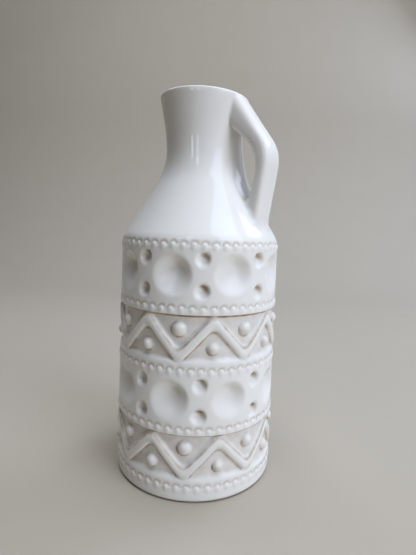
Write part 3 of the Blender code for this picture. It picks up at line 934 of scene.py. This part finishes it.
class VASE_OT_make_handle(bpy.types.Operator):
    """Wrap a grid round the strap, with its roots smoothed onto the body, and glaze it"""
    bl_idname = "vase.make_handle"
    bl_label = "Make Handle"

    def execute(self, context):
        rows = strap_rows(context.scene.vase_body, context.scene.vase_handle)
        deselect()
        bpy.ops.mesh.primitive_grid_add(x_subdivisions=STRAP_ROUND, y_subdivisions=len(rows) - 1, size=1.0)
        piece = context.object
        piece.name = piece.data.name = "luted_strap_handle"
        for vertex in piece.data.vertices:
            column = round((vertex.co.x + 0.5) * STRAP_ROUND) % STRAP_ROUND
            row = round((vertex.co.y + 0.5) * (len(rows) - 1))
            vertex.co = rows[row][column]
        bpy.ops.object.mode_set(mode="EDIT")
        close_surface()
        bpy.ops.object.mode_set(mode="OBJECT")
        bpy.ops.object.shade_smooth()
        piece.data.attributes.new("thin_glaze", "FLOAT", "POINT")
        piece.data.materials.append(glaze_material("white_gloss_glaze_on_strap", context.scene.vase_glaze))
        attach(piece, "root")
        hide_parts("handle")
        return {"FINISHED"}


def add_node(tree, kind, settings, inputs):
    """Add a node, give it its settings, and set or link its inputs by name or number."""
    node = tree.nodes.new(kind)
    for name, value in settings.items():
        setattr(node, name, value)
    for name, value in inputs.items():
        if isinstance(value, bpy.types.NodeSocket):
            tree.links.new(value, node.inputs[name])
        else:
            node.inputs[name].default_value = value
    return node


def add_noise(tree, place, size, detail):
    """Add a cloudy pattern whose patches have about the given size, and give its value."""
    inputs = {"Vector": place, "Scale": 1.0 / size, "Detail": detail}
    return add_node(tree, "ShaderNodeTexNoise", {}, inputs).outputs["Fac"]


def add_range(tree, value, start, end, low=0.0, high=1.0):
    """Carry a value over from one range to another, and give the result."""
    inputs = {"Value": value, "From Min": start, "From Max": end, "To Min": low, "To Max": high}
    return add_node(tree, "ShaderNodeMapRange", {}, inputs).outputs["Result"]


def add_mix(tree, factor, first, second):
    """Mix from one colour, or colour socket, to another colour, and give the result."""
    if not isinstance(first, bpy.types.NodeSocket):
        first = (*first, 1.0)
    inputs = {MIX_FACTOR: factor, MIX_FIRST: first, MIX_SECOND: (*second, 1.0)}
    return add_node(tree, "ShaderNodeMix", {"data_type": "RGBA"}, inputs).outputs[MIX_RESULT]


def new_material(name):
    """A new material, with its node tree, its shader and the place on the piece that patterns read."""
    material = bpy.data.materials.new(name)
    material.use_nodes = True
    tree = material.node_tree
    place = add_node(tree, "ShaderNodeTexCoord", {}, {}).outputs["Object"]
    return material, tree, tree.nodes["Principled BSDF"], place


# Sizes of the glaze's clouds, of the patches in its broken lines, of its skin's waves and of paper grain
CLOUD_SIZE = 24.0 * MM
PATCH_SIZE = 5.0 * MM
SKIN_SIZE = 9.0 * MM
SKIN_DEPTH = 0.14 * MM
GRAIN_SIZE = 60.0 * MM

# Height over which the relief's satin gives way to gloss
SATIN_FADE = 4.0 * MM

# How rough each finish is, how strongly the glaze bends light, and how dark the paper's grain is
GLOSS_ROUGHNESS = 0.04
SATIN_ROUGHNESS = 0.2
CLAY_ROUGHNESS = 0.8
PAPER_ROUGHNESS = 0.85
GLAZE_IOR = 1.5
GRAIN_DIMMING = 0.95

# How the patches' pattern turns into more or less of a break and painted shade, and over which amounts tan
# and brown come in
PATCH_RANGE = (0.3, 0.7, 0.55, 1.15)
TAN_RANGE = (0.05, 0.5)
BROWN_RANGE = (0.45, 1.0)


def glaze_material(name, look):
    """Tin-white glaze over buff clay, dipped and fired glossy, but satin where it lies on the relief.

    It gives a bright white that clouds to cream, tan and brown lines where it ran thin off an edge, the same
    tan and brown as painted shade and shadow in grooves, hollows, under edges and beside pellets, and a bare
    clay ring where the foot was wiped. The relief has a soft sheen, and shoulder, neck and handle are a clear
    mirror that wavers like orange skin.
    """
    material, tree, surface, place = new_material(name)
    height = add_node(tree, "ShaderNodeSeparateXYZ", {}, {"Vector": place}).outputs["Z"]
    thin = add_node(tree, "ShaderNodeAttribute", {"attribute_name": "thin_glaze"}, {}).outputs["Fac"]
    uneven = add_range(tree, add_noise(tree, place, PATCH_SIZE, detail=2.0), *PATCH_RANGE)
    multiply = {"operation": "MULTIPLY", "use_clamp": True}
    # Thin glaze and painted shade, broken into patches
    break_and_shade = add_node(tree, "ShaderNodeMath", multiply, {0: thin, 1: uneven}).outputs["Value"]
    bare = add_range(tree, height, look.clay_edge, 0.5 * look.clay_edge)
    tone = add_mix(tree, add_noise(tree, place, CLOUD_SIZE, detail=4.0), look.glaze, look.cream)
    tone = add_mix(tree, add_range(tree, break_and_shade, *TAN_RANGE), tone, look.tan)
    tone = add_mix(tree, add_range(tree, break_and_shade, *BROWN_RANGE), tone, look.brown)
    tone = add_mix(tree, bare, tone, look.clay)
    satin_end = look.satin_top + SATIN_FADE
    satin = add_range(tree, height, look.satin_top, satin_end, SATIN_ROUGHNESS, GLOSS_ROUGHNESS)
    rough = add_range(tree, bare, 0.0, 1.0, satin, CLAY_ROUGHNESS)
    waver = add_noise(tree, place, SKIN_SIZE, detail=1.0)
    skin = add_node(tree, "ShaderNodeBump", {}, {"Height": waver, "Strength": 0.5, "Distance": SKIN_DEPTH})
    tree.links.new(tone, surface.inputs["Base Color"])
    tree.links.new(rough, surface.inputs["Roughness"])
    tree.links.new(skin.outputs["Normal"], surface.inputs["Normal"])
    surface.inputs["IOR"].default_value = GLAZE_IOR
    return material


def floor_material(look):
    """Matt paper sweep: one pale tone with a faint grain, so that the light alone shapes it."""
    material, tree, surface, place = new_material("matt_paper_sweep")
    grain = add_noise(tree, place, GRAIN_SIZE, detail=4.0)
    dimmed = [GRAIN_DIMMING * channel for channel in look.floor]
    tree.links.new(add_mix(tree, grain, look.floor, dimmed), surface.inputs["Base Color"])
    surface.inputs["Roughness"].default_value = PAPER_ROUGHNESS
    return material


# Rows in the curve between floor and backdrop
SWEEP_ROWS = 24


def add_sweep(look):
    """A floor that rises in one curve into a backdrop on the far side from the camera."""
    deselect()
    bpy.ops.mesh.primitive_plane_add(size=2.0 * look.floor_reach, location=(0.0, 0.0, 0.0))
    sweep = bpy.context.object
    sweep.name = sweep.data.name = "paper_sweep"
    back = look.backdrop_distance - look.floor_reach
    for vertex in sweep.data.vertices:
        vertex.co.y += back if vertex.co.y > 0.0 else 0.0
    bpy.ops.object.mode_set(mode="EDIT")
    shape = bmesh.from_edit_mesh(sweep.data)
    bpy.ops.mesh.select_mode(type="EDGE")
    bpy.ops.mesh.select_all(action="DESELECT")
    far_edge = max(shape.edges, key=lambda edge: sum(vertex.co.y for vertex in edge.verts))
    far_edge.select_set(True)
    bpy.ops.mesh.extrude_edges_move(TRANSFORM_OT_translate={"value": (0.0, 0.0, look.backdrop_height)})
    bpy.ops.mesh.select_all(action="DESELECT")
    fold = look.backdrop_distance - MM
    for edge in bmesh.from_edit_mesh(sweep.data).edges:
        edge.select_set(all(vertex.co.z < MM and vertex.co.y > fold for vertex in edge.verts))
    bpy.ops.mesh.bevel(offset=look.backdrop_round, segments=SWEEP_ROWS)
    bpy.ops.mesh.select_all(action="SELECT")
    bpy.ops.transform.rotate(value=-look.camera_turn, orient_axis="Z", center_override=(0.0, 0.0, 0.0))
    bpy.ops.object.mode_set(mode="OBJECT")
    bpy.ops.object.shade_smooth()
    sweep.data.materials.append(floor_material(look))


# Area lights: name, place, width and height in metres, watts, colour and kind. A place is right of the
# vase, behind it and up, as the camera sees it. Soft light shapes the vase without a highlight, a window
# does both, and shine only adds to the highlights.
TALL_WINDOW = (0.98, -0.74, 1.16)
LIGHTS = (
    ("ceiling", (0.0, -0.16, 1.92), (1.1, 1.1), 28.5, "room_light", "soft"),
    ("bounce", (1.30, -1.22, 0.36), (1.1, 0.6), 14.5, "bounce_light", "soft"),
    ("side_window", (1.17, 0.36, 1.16), (0.6, 0.5), 3.4, "window_light", "window"),
    ("back_window", (-0.60, 0.60, 1.30), (0.6, 0.6), 2.0, "window_light", "window"),
    ("sky_behind", (1.05, 0.88, 1.05), (0.7, 0.7), 9.0, "window_light", "soft"),
    ("tall_window", TALL_WINDOW, (0.86, 1.5), 10.5, "window_light", "window"),
    ("tall_panes", TALL_WINDOW, (0.62, 1.4), 7.0, "window_light", "shine"),
    ("left_post", (-0.58, -0.90, 0.54), (0.1, 0.50), 0.9, "window_light", "shine"),
    ("right_post", (-0.26, -0.90, 0.61), (0.1, 0.70), 0.9, "window_light", "shine"),
)

# Strength of the dim room's light, and the nearest distance that the camera sees
SURROUND_STRENGTH = 0.05
NEAREST_SEEN = 10.0 * MM


def add_softbox(name, look, aim, place, size, power, tint):
    """A rectangular area light, placed as seen from the camera's side: right, behind the vase and up."""
    spot = Matrix.Rotation(look.camera_turn, 3, "Z") @ Vector(place)
    data = bpy.data.lights.new(name, "AREA")
    data.shape = "RECTANGLE"
    data.size, data.size_y = size
    data.energy = power
    data.color = tint
    light = bpy.data.objects.new(name, data)
    light.location = spot
    light.rotation_euler = (Vector(aim) - spot).to_track_quat("-Z", "Y").to_euler()
    bpy.context.scene.collection.objects.link(light)
    return light


def add_camera(look):
    """The camera at the photograph's place, tilt and roll."""
    data = bpy.data.cameras.new("camera")
    data.lens = look.lens
    data.clip_start = NEAREST_SEEN
    camera = bpy.data.objects.new("camera", data)
    place = Matrix.Translation((look.camera_aside, -look.camera_distance, look.camera_height))
    tilt = Matrix.Rotation(math.pi / 2.0 - look.camera_pitch, 4, "X")
    roll = Matrix.Rotation(look.camera_roll, 4, "Z")
    camera.matrix_world = Matrix.Rotation(look.camera_turn, 4, "Z") @ place @ tilt @ roll
    bpy.context.scene.collection.objects.link(camera)
    bpy.context.scene.camera = camera


def set_surround(look):
    """A dim even room, which fills the shadows and shows in the glaze's edges."""
    world = bpy.context.scene.world or bpy.data.worlds.new("room")
    bpy.context.scene.world = world
    world.use_nodes = True
    background = world.node_tree.nodes["Background"]
    background.inputs["Color"].default_value = (*look.surround, 1.0)
    background.inputs["Strength"].default_value = SURROUND_STRENGTH


class VASE_OT_set_stage(bpy.types.Operator):
    """Set up the floor, the lights and the camera"""
    bl_idname = "vase.set_stage"
    bl_label = "Set Stage"

    def execute(self, context):
        look = context.scene.vase_stage
        middle = (0.0, 0.0, 0.5 * total_height(context.scene.vase_body))
        add_sweep(look)
        for name, place, size, power, tint, kind in LIGHTS:
            light = add_softbox(name, look, middle, place, size, power, getattr(look, tint))
            light.visible_glossy = kind != "soft"
            light.visible_diffuse = kind != "shine"
        set_surround(look)
        add_camera(look)
        context.scene.view_settings.view_transform = "Standard"
        return {"FINISHED"}


class VASE_PT_panel(bpy.types.Panel):
    """Sizes, colours and buttons of the vase"""
    bl_idname = "VASE_PT_panel"
    bl_label = "Relief Jug Vase"
    bl_space_type = "VIEW_3D"
    bl_region_type = "UI"
    bl_category = "Vase"

    def draw(self, context):
        for group_name, _ in SETTINGS:
            group = getattr(context.scene, group_name)
            box = self.layout.box()
            for name in group.bl_rna.properties.keys():
                if name not in {"rna_type", "name"}:
                    box.prop(group, name)
        for operator in OPERATORS:
            self.layout.operator(operator.bl_idname)


SETTINGS = (
    ("vase_body", VaseBodySizes),
    ("vase_relief", VaseReliefSizes),
    ("vase_handle", VaseHandleSizes),
    ("vase_glaze", VaseGlazeLook),
    ("vase_stage", VaseStageLook),
)
OPERATORS = (VASE_OT_make_body, VASE_OT_make_handle, VASE_OT_set_stage)


def register():
    """Register the settings, the operators and the panel."""
    for name, group in SETTINGS:
        bpy.utils.register_class(group)
        setattr(bpy.types.Scene, name, bpy.props.PointerProperty(type=group))
    for item in (*OPERATORS, VASE_PT_panel):
        bpy.utils.register_class(item)


def unregister():
    """Take away what register added."""
    for item in (VASE_PT_panel, *reversed(OPERATORS)):
        bpy.utils.unregister_class(item)
    for name, group in reversed(SETTINGS):
        delattr(bpy.types.Scene, name)
        bpy.utils.unregister_class(group)


def main():
    """Make the vase and its stage."""
    register()
    bpy.ops.vase.make_body()
    bpy.ops.vase.make_handle()
    bpy.ops.vase.set_stage()


if __name__ == "__main__":
    main()
